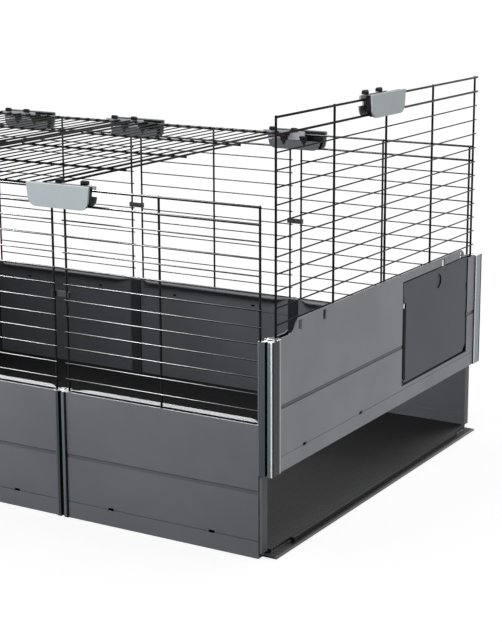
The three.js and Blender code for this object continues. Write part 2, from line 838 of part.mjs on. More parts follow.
// End walls and corner posts; the right ones are lifted together
const end_grille_geometry = wall_grille(end_grille_reach, end_feet);
const corner_geometry = corner_profile(1);
const mirrored_corner_geometry = corner_profile(-1);
add(left_wall, 'end_panel_left', end_panel(false), end_panel_grey, origin);
add(right_wall, 'end_panel_right', end_panel(true), end_panel_grey, origin);
add(right_wall, 'door', door(), door_grey, origin);
add(right_wall, 'door_hinge_bar', door_hinge_bar(), hinge_black, origin);
add(left_wall, 'end_grille_left', end_grille_geometry, wire_black, origin);
add(right_wall, 'end_grille_right', end_grille_geometry, wire_black, origin);
add(cage, 'corner_post_front_right', corner_geometry, profile_grey,
  [end_joint, -half_span, end_wall_lift]);
add(cage, 'corner_post_back_right', mirrored_corner_geometry, profile_grey,
  [end_joint, half_span, end_wall_lift]);
add(cage, 'corner_post_front_left', mirrored_corner_geometry, profile_grey,
  [-end_joint, -half_span, 0], Math.PI);
add(cage, 'corner_post_back_left', corner_geometry, profile_grey,
  [-end_joint, half_span, 0], Math.PI);

// Roof lids over all modules but the right one
const lid_geometry = roof_lid();
lid_names.forEach((name, i) => {
  add(cage, `lid_${name}`, lid_geometry, wire_black, [module_middle(i), 0, 0]);
});

// Top clips on the joints, behind the left lid and on each end wall
const cover_geometry = clip_cover();
const core_geometry = clip_core(0);
const front_core_geometry = clip_core(front_cover_shift);
const end_core_geometry = clip_core(end_cover_shift);
const slider_geometry = clip_slider();
const side_clip_x = module_middle(0) - side_clip_lid_pitches * lid_wire_pitch;
const clip_places = [
  ...joint_names.map((name, i) => [
    `front_clip_${name}`, front_wall, joint_line(i), 1, front_core_geometry, front_cover_shift]),
  ['back_clip_side', back_wall, -side_clip_x, 1, core_geometry, 0],
  ...joint_names.map((name, i) => [
    `back_clip_${name}`, back_wall, -joint_line(i), 1, core_geometry, 0]),
  ['end_clip_left', left_wall, end_clip_offset, -1, end_core_geometry, end_cover_shift],
  ['end_clip_right', right_wall, end_clip_offset, -1, end_core_geometry, end_cover_shift],
];
for (const [name, wall, u, slid, core, shift] of clip_places) {
  add(wall, `${name}_cover`, cover_geometry, clip_silver, [u + shift, 0, 0]);
  add(wall, `${name}_core`, core, clip_black, [u, 0, 0]);
  add(wall, `${name}_slider`, slider_geometry, slider_grey, [u + slid * slider_offset, 0, 0]);
}

export default cage;
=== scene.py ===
# %% [markdown]
# # A modular pet cage
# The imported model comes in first. It is in metres and stands where the real cage would,
# with X along the cage, Y from front to back and Z up. All that follows is fitted to it.

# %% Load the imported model
import json
import math

import bpy
from mathutils import Matrix, Vector

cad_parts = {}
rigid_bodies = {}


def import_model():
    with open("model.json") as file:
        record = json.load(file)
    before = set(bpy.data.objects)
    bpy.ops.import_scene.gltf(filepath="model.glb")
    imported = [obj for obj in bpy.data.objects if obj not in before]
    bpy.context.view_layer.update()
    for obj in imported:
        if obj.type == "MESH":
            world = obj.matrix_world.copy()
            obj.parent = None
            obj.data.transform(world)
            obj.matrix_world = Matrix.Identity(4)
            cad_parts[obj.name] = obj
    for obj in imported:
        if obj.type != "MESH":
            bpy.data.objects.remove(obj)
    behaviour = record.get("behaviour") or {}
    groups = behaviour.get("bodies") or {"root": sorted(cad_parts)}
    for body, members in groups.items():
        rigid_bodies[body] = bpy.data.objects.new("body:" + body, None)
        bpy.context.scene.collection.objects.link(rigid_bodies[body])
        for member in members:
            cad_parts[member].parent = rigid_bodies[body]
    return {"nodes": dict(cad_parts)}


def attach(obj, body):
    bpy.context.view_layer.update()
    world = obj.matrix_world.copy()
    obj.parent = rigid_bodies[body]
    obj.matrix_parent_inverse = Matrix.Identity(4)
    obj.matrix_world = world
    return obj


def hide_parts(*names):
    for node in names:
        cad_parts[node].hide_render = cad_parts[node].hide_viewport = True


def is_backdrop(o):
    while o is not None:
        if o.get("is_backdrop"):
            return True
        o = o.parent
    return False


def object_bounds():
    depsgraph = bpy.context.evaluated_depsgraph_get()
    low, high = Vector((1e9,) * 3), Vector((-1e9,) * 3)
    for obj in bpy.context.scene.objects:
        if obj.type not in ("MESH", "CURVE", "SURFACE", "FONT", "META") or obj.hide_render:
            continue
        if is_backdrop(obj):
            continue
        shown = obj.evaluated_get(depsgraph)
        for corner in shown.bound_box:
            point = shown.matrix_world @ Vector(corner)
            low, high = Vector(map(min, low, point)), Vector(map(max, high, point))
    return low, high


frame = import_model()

cad_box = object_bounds()
scene = bpy.context.scene
scene.view_settings.view_transform = "Standard"
nodes = frame["nodes"]

# %% [markdown]
# The camera stands in front of the cage and to the right of its right end, 0.87 m up, and
# looks slightly down. A long lens keeps the uprights almost parallel, as they are in the
# picture. The picture is 502 pixels wide and 642 high, so the lens is given by its height.
# The middle of the lens lies a little above and to the right of the picture's centre, and
# a small shift of the lens gives that.

# %% The camera
camera_place = Vector((1.615, -2.2146, 0.869))
camera_turn, camera_dip = math.radians(30.22), math.radians(12.44)
picture_height = 642
focal_pixels = 1639.9
lens_middle = (19, 36)

camera_data = bpy.data.cameras.new("camera")
camera_data.sensor_fit = "VERTICAL"
camera_data.sensor_height = 36
camera_data.lens = focal_pixels * camera_data.sensor_height / picture_height
camera_data.shift_x = -lens_middle[0] / picture_height
camera_data.shift_y = -lens_middle[1] / picture_height
camera = bpy.data.objects.new("camera", camera_data)
camera.location = camera_place
camera.rotation_euler = (math.pi / 2 - camera_dip, 0, camera_turn)
scene.collection.objects.link(camera)
scene.camera = camera
print("lens", round(camera_data.lens, 2), "mm")

# %% [markdown]
# Colours are easiest to read off a picture as sRGB hex, but shaders count light in linear
# values, so one function converts them. A second one adds a node, sets it and links it. It
# keeps each material to a few lines that read in the order in which the light meets them.

# %% Colours and nodes
def linear(hex_colour):
    channels = [int(hex_colour[i:i + 2], 16) / 255 for i in (1, 3, 5)]
    return [c / 12.92 if c <= 0.04045 else ((c + 0.055) / 1.055) ** 2.4
            for c in channels] + [1]


def put(tree, kind, inputs=(), **settings):
    made = tree.nodes.new("ShaderNode" + kind)
    for name, value in settings.items():
        setattr(made, name, value)
    for socket, value in dict(inputs).items():
        if isinstance(value, bpy.types.NodeSocket):
            tree.links.new(value, made.inputs[socket])
        else:
            made.inputs[socket].default_value = value
    return made


def new_material(name, slot):
    made = bpy.data.materials.new(name)
    made.use_nodes = True
    made.node_tree.nodes.clear()
    made["slot"] = slot
    return made


# %% [markdown]
# The stage is a pale floor under a white world, which gives the gloss of the plastic
# something to mirror. The floor is shaded in two ways: for light that bounces on to the
# cage it is a plain soft grey. Seen directly or in a reflection it also glows a little, so
# it reads white and yet keeps the soft shadow of the cage. The world is split in the same
# way: it is white when seen, and dimmer as a light.

# %% Floor and world
bpy.ops.object.select_all(action="DESELECT")
bpy.ops.mesh.primitive_plane_add(size=60)
floor = bpy.context.active_object
floor.name = "studio_floor"
paint = new_material("pale studio floor", None)
tree = paint.node_tree


def seen_directly(tree):
    path = put(tree, "LightPath")
    seen = put(tree, "Math", {0: path.outputs["Is Camera Ray"],
                              1: path.outputs["Is Glossy Ray"]}, operation="MAXIMUM")
    seen = put(tree, "Math", {0: seen.outputs[0],
                              1: path.outputs["Is Transmission Ray"]}, operation="MAXIMUM")
    return seen.outputs[0]


bounce = put(tree, "BsdfDiffuse", {"Color": linear("#b4b4b4")})
matt = put(tree, "BsdfDiffuse", {"Color": linear("#c8c8c8")})
glow = put(tree, "Emission", {"Color": linear("#ffffff"), "Strength": 0.72})
pale = put(tree, "AddShader", {0: matt.outputs[0], 1: glow.outputs[0]})
chosen = put(tree, "MixShader", {0: seen_directly(tree), 1: bounce.outputs[0],
                                 2: pale.outputs[0]})
put(tree, "OutputMaterial", {"Surface": chosen.outputs[0]})
floor.data.materials.append(paint)
floor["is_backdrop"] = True

world = bpy.data.worlds.new("white studio")
world.use_nodes = True
scene.world = world
tree = world.node_tree
tree.nodes.clear()
room_light = put(tree, "Background", {"Color": linear("#ffffff"), "Strength": 0.56})
white = put(tree, "Background", {"Color": linear("#ffffff"), "Strength": 1.0})
chosen = put(tree, "MixShader", {0: seen_directly(tree), 1: room_light.outputs[0],
                                 2: white.outputs[0]})
put(tree, "OutputWorld", {"Surface": chosen.outputs[0]})

# %% [markdown]
# Soft lamps shape the cage on top of the even light of the world. A high one on the left
# is the main light, and a long one close above the front lights the walls more at the top
# than at the foot. One on each side lifts an end wall, and one behind lifts the back. A
# small one over the right module lights the inside of the back wall. The other three are
# there to be mirrored as lines, by the level ledges, the wires and the rim of the tray.
# Each of them is linked at the end to the pieces that it is for, as a photographer flags a
# lamp off everything else.


# %% Lamps
def lamp(name, place, aim, size, watts):
    data = bpy.data.lights.new(name, "AREA")
    data.shape = "RECTANGLE"
    data.size, data.size_y = size
    data.energy = watts
    made = bpy.data.objects.new(name, data)
    made.location = place
    turn = (Vector(aim) - Vector(place)).to_track_quat("-Z", "Y")
    made.rotation_euler = turn.to_euler()
    made.visible_camera = False
    scene.collection.objects.link(made)
    print(name, "is", round((Vector(aim) - Vector(place)).length, 2), "m away")
    return made


main_lamp = lamp("main_lamp", (-0.7, -1.9, 2.2), (0, 0, 0.3), (2.0, 1.0), 34)
front_lamp = lamp("front_lamp", (-0.1, -0.62, 0.62), (-0.1, -0.355, 0.12), (1.5, 0.1), 10)
end_wall_lamp = lamp("end_wall_lamp", (3.4, 0.3, 1.5), (0.5, 0, 0.3), (1.2, 1.2), 36)
ledge_lamp = lamp("ledge_lamp", (-1.6, 2.7, 1.15), (0, 0, 0.3), (3.2, 1.0), 90)
wire_lamp = lamp("wire_lamp", (-1.2, -1.1, 2.4), (0, 0, 0.3), (2.2, 0.25), 1100)
rim_lamp = lamp("rim_lamp", (1.1, 2.1, 1.25), (0.54, 0, 0), (1.0, 0.6), 60)
back_lamp = lamp("back_lamp", (0.6, 2.6, 1.5), (0, 0.35, 0.1), (2.0, 1.0), 34)
left_lamp = lamp("left_lamp", (-3.4, -0.3, 1.5), (-0.5, 0, 0.3), (1.2, 1.2), 36)
inside_lamp = lamp("inside_lamp", (0.46, -0.15, 0.7), (0.34, 0.35, 0.1), (0.3, 0.3), 8)


# %% [markdown]
# Every new piece needs the same handling: it is selected alone, because an operator works
# on all that is selected, its edges are picked by their place, and at the end it is tied
# to the body that it moves with, and the CAD node that it stands for is hidden.

# %% Handling one object
def only(obj):
    bpy.ops.object.select_all(action="DESELECT")
    obj.select_set(True)
    bpy.context.view_layer.objects.active = obj


def pick_edges(obj, wanted):
    mesh = obj.data
    for part in (mesh.vertices, mesh.edges, mesh.polygons):
        part.foreach_set("select", [False] * len(part))
    count = 0
    for edge in mesh.edges:
        a, b = (mesh.vertices[i].co for i in edge.vertices)
        if wanted(a, b):
            edge.select = True
            count += 1
    return count


def bevel_edges(obj, wanted, width, segments=3):
    only(obj)
    bpy.context.tool_settings.mesh_select_mode = (False, True, False)
    if pick_edges(obj, wanted):
        bpy.ops.object.mode_set(mode="EDIT")
        bpy.ops.mesh.bevel(offset=width, segments=segments, affect="EDGES")
        bpy.ops.object.mode_set(mode="OBJECT")


def soften(obj, width, segments=2, angle=35):
    only(obj)
    bevel = obj.modifiers.new("soft edges", "BEVEL")
    bevel.width = width
    bevel.segments = segments
    bevel.limit_method = "ANGLE"
    bevel.angle_limit = math.radians(angle)
    bpy.ops.object.modifier_apply(modifier=bevel.name)
    bpy.ops.object.shade_smooth_by_angle(angle=math.radians(angle))
    level = obj.modifiers.new("level faces", "WEIGHTED_NORMAL")
    level.keep_sharp = True
    bpy.ops.object.modifier_apply(modifier=level.name)


def joined(parts, name):
    only(parts[0])
    for part in parts[1:]:
        part.select_set(True)
    if len(parts) > 1:
        bpy.ops.object.join()
    parts[0].name = parts[0].data.name = name
    return parts[0]


def duplicate(obj, name, matrix=Matrix.Identity(4)):
    made = obj.copy()
    made.data = obj.data.copy()
    made.name = made.data.name = name
    scene.collection.objects.link(made)
    made.parent = None
    made.matrix_world = Matrix.Identity(4)
    made.data.transform(matrix)
    return made


def place_piece(obj, body, slot_name, *replaced):
    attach(obj, body)
    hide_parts(*replaced)


# %% [markdown]
# Each wall is easiest to model lying along u, with v across it, outside negative, and to
# turn into its place at the end. The right end wall is drawn up by 120 mm, as in the
# picture, so its matrix lifts what hangs on it.

# %% Where the four walls stand
def wall_place(x, y, z, turn):
    return Matrix.Translation((x, y, z)) @ Matrix.Rotation(turn, 4, "Z")


half_depth = 0.35
half_length = 0.5275
end_wall_lift = 0.12
module_pitch = 0.35
walls = {
    "front": wall_place(0, -half_depth, 0, 0),
    "back": wall_place(0, half_depth, 0, math.pi),
    "left": wall_place(-half_length, 0, 0, -math.pi / 2),
    "right": wall_place(half_length, 0, end_wall_lift, math.pi / 2),
}
module_x = {"left": -module_pitch, "middle": 0.0, "right": module_pitch}
print("walls:", list(walls), "modules:", list(module_x))

# %% [markdown]
# ## Finishes
# The wall panels are moulded polypropylene. Its mould is lightly grained, so the plastic
# has a satin face: soft, broad highlights, and a grain of a few tenths of a millimetre.
# That is too fine to show here, so it is drawn at 1.2 mm. The colour drifts by six to nine
# levels of 255 over a hand's width, as pigment does in a big moulding. The end walls are
# written in a lighter grey than the others, which follows the light in the picture.

# %% Moulded plastics
def moulded(name, slot, low, high, roughness, gloss=0.5, grain_mm=1.2, grain=0.05, ior=1.49):
    made = new_material(name, slot)
    tree = made.node_tree
    place = put(tree, "TexCoord").outputs["Object"]
    drift = put(tree, "TexNoise", {"Vector": place, "Scale": 9.0, "Detail": 3.0})
    colour = put(tree, "ValToRGB", {"Fac": drift.outputs["Fac"]})
    colour.color_ramp.elements[0].position = 0.35
    colour.color_ramp.elements[0].color = linear(low)
    colour.color_ramp.elements[1].position = 0.65
    colour.color_ramp.elements[1].color = linear(high)
    fine = put(tree, "TexNoise", {"Vector": place, "Scale": 1000 / grain_mm, "Detail": 2.0})
    rough = put(tree, "MapRange", {"Value": fine.outputs["Fac"], "To Min": roughness - 0.05,
                                   "To Max": roughness + 0.05})
    bump = put(tree, "Bump", {"Height": fine.outputs["Fac"], "Strength": grain,
                              "Distance": 0.0004})
    surface = put(tree, "BsdfPrincipled", {
        "Base Color": colour.outputs["Color"], "Roughness": rough.outputs[0],
        "Normal": bump.outputs[0], "IOR": ior, "Specular IOR Level": gloss})
    put(tree, "OutputMaterial", {"Surface": surface.outputs[0]})
    return made


panel_finish = moulded("panel grey grained polypropylene", "panel", "#4c4d52", "#525358", 0.42,
                       0.25)
# The end panels are the same plastic as the others; their lighter grey is painted light.
end_painted_light_finish = moulded("end panel grey grained polypropylene", "end_panel", "#75767b", "#7d7e84",
                     0.42, 0.25)
door_finish = moulded("door grey grained polypropylene", "door", "#373b41", "#3d4147", 0.4, 0.2)
shade_finish = moulded("black shade inside the hollow wall", "panel", "#060607", "#0b0b0c",
                       0.6, 0.1)
band_finish = moulded("smooth dark band of the panel", "panel", "#404145", "#47484c", 0.3, 0.25,
                      grain=0.01)
cover_finish = moulded("silver grey satin ABS", "clip_cover", "#c2cdd1", "#ccd6da", 0.33,
                       grain=0.02, ior=1.54)
slider_finish = moulded("light grey smooth ABS", "slider", "#bcc0c6", "#cacdd3", 0.3,
                        grain=0.02, ior=1.54)
plate_finish = moulded("mid grey satin polypropylene", "clip_core", "#686d71", "#767b7f", 0.45)
core_finish = moulded("black satin polypropylene", "clip_core", "#0f1011", "#161718", 0.36, 0.25)
mid_clip_finish = moulded("smoke grey glossy plastic", "mid_clip", "#36383a", "#434547", 0.22,
                          grain=0.02)
hinge_finish = moulded("black satin polypropylene rod", "hinge_bar", "#08080a", "#0e0e11", 0.4,
                       0.15)
pin_finish = moulded("natural white nylon", "hinge_bar", "#c9ccd0", "#d8dadd", 0.35, ior=1.53)

# %% [markdown]
# The connector profiles are extruded rigid PVC in a greener grey. Extruding leaves very
# fine lines along the length, so the noise is stretched along Z. The profiles are glossier
# than the panels. Their corners carry a painted highlight as a light line, a paler stripe
# runs beside them, and the grooves and the gaps along the panels are painted black as shade.
# The sides of the front posts are darkened by painted shade and those of the back posts made
# paler by painted light. That follows the light in the picture, because the plastic itself is
# probably the same.


# %% Extruded profile plastic
def extruded(name, slot, low, high):
    made = new_material(name, slot)
    tree = made.node_tree
    place = put(tree, "TexCoord").outputs["Object"]
    drawn = put(tree, "Mapping", {"Vector": place, "Scale": (900, 900, 6)})
    lines = put(tree, "TexNoise", {"Vector": drawn.outputs[0], "Scale": 1.0, "Detail": 2.0})
    colour = put(tree, "ValToRGB", {"Fac": lines.outputs["Fac"]})
    colour.color_ramp.elements[0].position = 0.3
    colour.color_ramp.elements[0].color = linear(low)
    colour.color_ramp.elements[1].position = 0.7
    colour.color_ramp.elements[1].color = linear(high)
    bump = put(tree, "Bump", {"Height": lines.outputs["Fac"], "Strength": 0.08,
                              "Distance": 0.0002})
    surface = put(tree, "BsdfPrincipled", {
        "Base Color": colour.outputs["Color"], "Roughness": 0.25, "Normal": bump.outputs[0],
        "IOR": 1.53, "Specular IOR Level": 0.2})
    put(tree, "OutputMaterial", {"Surface": surface.outputs[0]})
    return made


profile_finish = extruded("extruded grey-green rigid PVC", "profile", "#2d3235", "#373d40")
# The light line on the corners of the profiles is a painted highlight.
edge_highlight_finish = extruded("worn light edge of rigid PVC", "profile", "#b9bfc2", "#d2d7d9")
stripe_finish = extruded("paler stripe of rigid PVC", "profile", "#434c4e", "#4d5759")
# This darker tone is painted shade on the sides of the front posts; it also darkens the middle
# of a connector's face.
dark_tone_and_shade_finish = extruded("darker inner skin of rigid PVC", "profile", "#25292c", "#2e3336")
# This paler tone is painted light on the sides of the back posts.
pale_painted_light_finish = extruded("pale side of rigid PVC", "profile", "#7d868a", "#889094")
# This black is painted shade in the grooves, in the gaps along the panels and behind the tray's
# lip.
groove_shade_finish = moulded("black rubber seal", "profile", "#060607", "#0b0b0c", 0.6, 0.1)

# %% [markdown]
# The floor trays are black polypropylene with fine crossed ribs, which keep bedding from
# sliding. The ribs are 5 mm apart along the cage and 8 mm apart across it. A wave texture
# gives each set: at a scale of 1 it turns by 20 radians in a metre, so its scale follows
# from the pitch. The ribs are drawn a little lighter than the floor between them, which is a
# painted highlight on their crests. A finer noise gives the dust-dry grain between them. The
# plastic is dull, so the white room hardly shows in it even at a flat angle. The outer edge of
# the tray's lip carries a painted highlight. The strip behind it and the side of the bead are
# painted black as shade.

# %% Ribbed floor plastic
rib_pitch = {"X": 0.005, "Y": 0.008}
wave_radians = 20
floor_finish = new_material("black ribbed polypropylene", "floor")
tree = floor_finish.node_tree
place = put(tree, "TexCoord").outputs["Object"]
waves = [put(tree, "TexWave", {"Vector": place, "Scale": 2 * math.pi / pitch / wave_radians},
             wave_type="BANDS", bands_direction=way, wave_profile="SIN")
         for way, pitch in rib_pitch.items()]
ribs = put(tree, "Math", {0: waves[0].outputs["Fac"], 1: waves[1].outputs["Fac"]},
           operation="MAXIMUM")
dust = put(tree, "TexNoise", {"Vector": place, "Scale": 700.0, "Detail": 2.0})
# The crests of the ribs are coloured lighter than the floor between them, a painted highlight.
shade = put(tree, "ValToRGB", {"Fac": ribs.outputs[0]})
shade.color_ramp.elements[0].color = linear("#0a0a0a")
shade.color_ramp.elements[1].color = linear("#171718")
rib_bump = put(tree, "Bump", {"Height": ribs.outputs[0], "Strength": 0.6,
                              "Distance": 0.0006})
both = put(tree, "Bump", {"Height": dust.outputs["Fac"], "Strength": 0.15,
                          "Distance": 0.0003, "Normal": rib_bump.outputs[0]})
surface = put(tree, "BsdfPrincipled", {
    "Base Color": shade.outputs["Color"], "Roughness": 0.55, "Specular IOR Level": 0.25,
    "Normal": both.outputs[0], "IOR": 1.49})
put(tree, "OutputMaterial", {"Surface": surface.outputs[0]})
# The lighter outer edge of the tray's lip is a painted highlight.
lip_highlight_finish = moulded("worn lip of the tray", "floor", "#47484a", "#5a5b5d", 0.4, 0.3)

# %% [markdown]
# The wires are steel with a thin black powder coat. The coat is shiny and slightly uneven,
# like orange peel at about 1.5 mm, so a level wire carries a thin broken light line along
# its top while an upright stays black.

# %% Coated wire
wire_finish = new_material("black powder coated steel wire", "wire")
tree = wire_finish.node_tree
place = put(tree, "TexCoord").outputs["Object"]
peel = put(tree, "TexNoise", {"Vector": place, "Scale": 650.0, "Detail": 1.0})
tone = put(tree, "ValToRGB", {"Fac": peel.outputs["Fac"]})
tone.color_ramp.elements[0].color = linear("#050505")
tone.color_ramp.elements[1].color = linear("#0a0a0b")
bump = put(tree, "Bump", {"Height": peel.outputs["Fac"], "Strength": 0.1, "Distance": 0.0002})
surface = put(tree, "BsdfPrincipled", {
    "Base Color": tone.outputs["Color"], "Roughness": 0.3, "Specular IOR Level": 0.12,
    "Normal": bump.outputs[0], "IOR": 1.5})
put(tree, "OutputMaterial", {"Surface": surface.outputs[0]})
print("materials:", len(bpy.data.materials))

# %% [markdown]
# ## Moulded and extruded parts
# Panels, profiles, door, trays and the clips at mid height have their forms in the CAD
# model already, but with knife-sharp edges. Real mouldings have small radii there, which
# catch the light. So each is copied, its loose triangles are merged into whole faces, and
# its edges are rounded by half a millimetre or so.

# %% Rounded copies of CAD nodes
def merged_copy(name):
    made = duplicate(nodes[name], name + "_piece")
    only(made)
    if made.data.has_custom_normals:
        bpy.ops.mesh.customdata_custom_splitnormals_clear()
    bpy.ops.object.mode_set(mode="EDIT")
    bpy.ops.mesh.select_all(action="SELECT")
    bpy.ops.mesh.remove_doubles(threshold=0.000002)
    bpy.ops.mesh.dissolve_limited(angle_limit=math.radians(0.5))
    bpy.ops.object.mode_set(mode="OBJECT")
    made.data.materials.clear()
    return made


def rounded_piece(name, body, material, width, cuts=()):
    made = merged_copy(name)
    bpy.ops.object.mode_set(mode="EDIT")
    for place, way in cuts:
        bpy.ops.mesh.select_all(action="SELECT")
        bpy.ops.mesh.bisect(plane_co=place, plane_no=way)
    bpy.ops.object.mode_set(mode="OBJECT")
    soften(made, width)
    made.data.materials.append(material)
    place_piece(made, body, material["slot"], name)
    return made


# %% [markdown]
# Some faces of a part have a finish of their own. They are picked by their place, which is
# the box from the lowest to the highest corner of the face, and by the way that they face.

# %% A second finish
def finish_faces(obj, finish, wanted):
    obj.data.materials.append(finish)
    count = 0
    for face in obj.data.polygons:
        corners = [obj.data.vertices[i].co for i in face.vertices]
        low = Vector([min(c[axis] for c in corners) for axis in range(3)])
        high = Vector([max(c[axis] for c in corners) for axis in range(3)])
        if wanted(low, high, face.normal):
            face.material_index = len(obj.data.materials) - 1
            count += 1
    print(obj.name, "has", count, "faces in", finish.name)


# %% [markdown]
# A wall panel is two moulded skins with a hollow between them, which is open underneath.
# The shallow stripe across its face looks darker and smoother, so it gets a finish of its
# own. The faces of the hollow get a black one, because hardly any light reaches them.

# %% Wall panels
stripe_low, stripe_high = 0.0935, 0.1005
cavity_y = (0.3468, 0.3553)
end_cavity_x = (0.5243, 0.5329)
panel_round = 0.0005


def in_band(lift):
    return lambda low, high, n: stripe_low + lift < low.z and high.z < stripe_high + lift


def hollow_inside(low, high, n):
    nearer, farther = sorted((abs(low.y), abs(high.y)))
    return nearer > cavity_y[0] and farther < cavity_y[1]


def end_hollow_inside(low, high, n):
    return low.x > end_cavity_x[0] and high.x < end_cavity_x[1]


for name in [f"{side}_panel_{m}" for side in ("front", "back") for m in module_x]:
    panel = rounded_piece(name, "base", panel_finish, panel_round)
    finish_faces(panel, band_finish, in_band(0))
    finish_faces(panel, shade_finish, hollow_inside)
finish_faces(rounded_piece("end_panel_left", "base", end_painted_light_finish, panel_round), band_finish,
             in_band(0))
door_rim_y, door_rim_z = (0.0529, 0.3061), (0.1519, 0.3211)
cuts = [((0, y, 0), (0, 1, 0)) for y in door_rim_y]
cuts += [((0, 0, z), (0, 0, 1)) for z in door_rim_z]
end_wall = rounded_piece("end_panel_right", "right_end_wall", end_painted_light_finish, panel_round, cuts)
finish_faces(end_wall, band_finish, in_band(end_wall_lift))
finish_faces(end_wall, shade_finish, end_hollow_inside)


# %% [markdown]
# A profile is one extrusion with strips of several tones along it: edges lit by a painted
# highlight, a paler stripe, and grooves painted black as shade. Across a profile, a is counted
# from its outer corner, or to the right from the joint, and b inwards from its outer face. A
# strip is then a range of a and a range of b.

# %% The strips of a profile
post_outer_x = 0.5375
profile_outer_y = 0.36
joint_x = module_pitch / 2


def from_corner(x, y):
    return post_outer_x - abs(x), profile_outer_y - abs(y)


def from_joint(x, y):
    away = abs(x) - joint_x
    return math.copysign(away, -away * x * y), profile_outer_y - abs(y)


def on_strip(section, a_range, b_range):
    def wanted(low, high, n):
        a, b = section((low.x + high.x) / 2, (low.y + high.y) / 2)
        return abs(n.z) < 0.5 and a_range[0] < a < a_range[1] and b_range[0] < b < b_range[1]
    return wanted


# On a post the light edge strips are painted highlights and the black strips painted shade.
post_strips = (
    (edge_highlight_finish, (-0.001, 0.0017), (-0.001, 0.0016)),
    (edge_highlight_finish, (-0.001, 0.0008), (0.0215, 0.0256)),
    (stripe_finish, (0.0206, 0.0224), (-0.001, 0.0012)),
    (stripe_finish, (0.0017, 0.0068), (-0.001, 0.0006)),
    (groove_shade_finish, (0.0068, 0.0112), (0.0001, 0.0052)),
    (groove_shade_finish, (0.0002, 0.0016), (0.0022, 0.0048)),
)
# On a connector the black strips in the groove and along the panel are painted shade.
connector_strips = (
    (dark_tone_and_shade_finish, (-0.0073, 0.0076), (-0.001, 0.0006)),
    (stripe_finish, (-0.01, -0.0072), (-0.001, 0.0006)),
    (stripe_finish, (0.003, 0.0075), (-0.001, 0.0006)),
    (groove_shade_finish, (-0.003, 0.003), (0.0001, 0.0052)),
    (groove_shade_finish, (0.0075, 0.0099), (-0.001, 0.004)),
)
print("strips on a post:", len(post_strips), "and on a connector:", len(connector_strips))

# %% [markdown]
# A flat face that carries two tones has to be cut in two first. A bisect does that: it cuts
# the whole piece by a plane and leaves its form as it is.

# %% The profiles in their places
post_cuts_x = (0.5169, 0.5358)
post_cuts_y = (0.3585, 0.3385)
connector_cuts_a = (-0.0071, 0.0075)
for side, way in (("front", -1), ("back", 1)):
    for end, out, body in (("left", -1, "base"), ("right", 1, "right_end_wall")):
        cuts = [((out * x, 0, 0), (1, 0, 0)) for x in post_cuts_x]
        cuts += [((0, way * y, 0), (0, 1, 0)) for y in post_cuts_y]
        post = rounded_piece(f"corner_post_{side}_{end}", body, profile_finish, 0.0005, cuts)
        # Painted shade darkens the sides of the front posts and painted light brightens those of
        # the back posts.
        side_shade_or_light = dark_tone_and_shade_finish if way < 0 else pale_painted_light_finish
        finish_faces(post, side_shade_or_light,
                     on_strip(from_corner, (-0.001, 0.0008), (0.0048, 0.0215)))
        for finish, a_range, b_range in post_strips:
            finish_faces(post, finish, on_strip(from_corner, a_range, b_range))
    for end, out in (("left", -1), ("right", 1)):
        cuts = [((out * joint_x - way * a, 0, 0), (1, 0, 0)) for a in connector_cuts_a]
        connector = rounded_piece(f"{side}_connector_{end}", "base", profile_finish, 0.0004,
                                  cuts)
        for finish, a_range, b_range in connector_strips:
            finish_faces(connector, finish, on_strip(from_joint, a_range, b_range))

# %% [markdown]
# The narrow gap round the door shows as a black outline, so the edge faces of the door and
# a rim of 1.1 mm round its opening are shaded black. The end wall was cut for that
# above. A tray is cut along the line where its worn lip begins.

# %% Door, trays and mid clips
def on_door_rim(low, high, n):
    slack = 0.0001
    return (low.y > door_rim_y[0] - slack and high.y < door_rim_y[1] + slack
            and low.z > door_rim_z[0] - slack and high.z < door_rim_z[1] + slack)


finish_faces(rounded_piece("door", "door", door_finish, 0.0004), shade_finish,
             lambda low, high, n: abs(n.x) < 0.5)
finish_faces(end_wall, shade_finish, on_door_rim)
lip_edge = 0.5352
bead_inner = 0.5315
lip_top = 0.0035
near = 0.0001
for module in module_x:
    tray = rounded_piece(f"floor_tray_{module}", "base", floor_finish, 0.0007,
                         [((out * lip_edge, 0, 0), (1, 0, 0)) for out in (-1, 1)])
    # The outer edge of the lip gets a painted highlight, and the strip behind it and the side of
    # the bead get painted black shade.
    finish_faces(tray, lip_highlight_finish, lambda low, high, n: n.z > -0.1 and high.z < lip_top
                 and min(abs(low.x), abs(high.x)) > lip_edge - near)
    finish_faces(tray, groove_shade_finish, lambda low, high, n: n.z > -0.1
                 and min(abs(low.x), abs(high.x)) > bead_inner
                 and max(abs(low.x), abs(high.x)) < lip_edge + near)
for side in ("front", "back"):
    for joint in ("left", "right"):
        rounded_piece(f"{side}_mid_clip_{joint}", "base", mid_clip_finish, 0.0005)

# %% [markdown]
# ## Wire
# Every grille is welded from straight wires of 3.6 and 2.2 mm. A wire is a cylinder whose
# cut ends are slightly rounded. The level wires of one gauge are copies of the first, and
# all the wires of a grille are joined, so it is one piece, as the welded one is.

# %% One wire
thick = 0.0018
thin = 0.0011
weld = 0.00025
wire_sides = 12
rim_share = 0.45


def wire(radius, start, end):
    start, end = Vector(start), Vector(end)
    length = (end - start).length
    bpy.ops.object.select_all(action="DESELECT")
    bpy.ops.mesh.primitive_cylinder_add(
        vertices=wire_sides, radius=radius, depth=length, location=(start + end) / 2,
        rotation=(end - start).to_track_quat("Z", "Y").to_euler())
    made = bpy.context.active_object
    tip = length / 2 - radius / 10
    bevel_edges(made, lambda a, b: min(abs(a.z), abs(b.z)) > tip, radius * rim_share, 2)
    bpy.ops.object.transform_apply(location=True, rotation=True, scale=True)
    bpy.ops.object.shade_smooth_by_angle(angle=math.radians(50))
    return made


def step(radius):
    return thick + radius - weld


grille_top = 0.5
top_wire_level = 0.4982
level_pitch = 0.0237
wire_tip = 0.002
level_rows = ((thick, 2, 0), (thin, 11, 2))


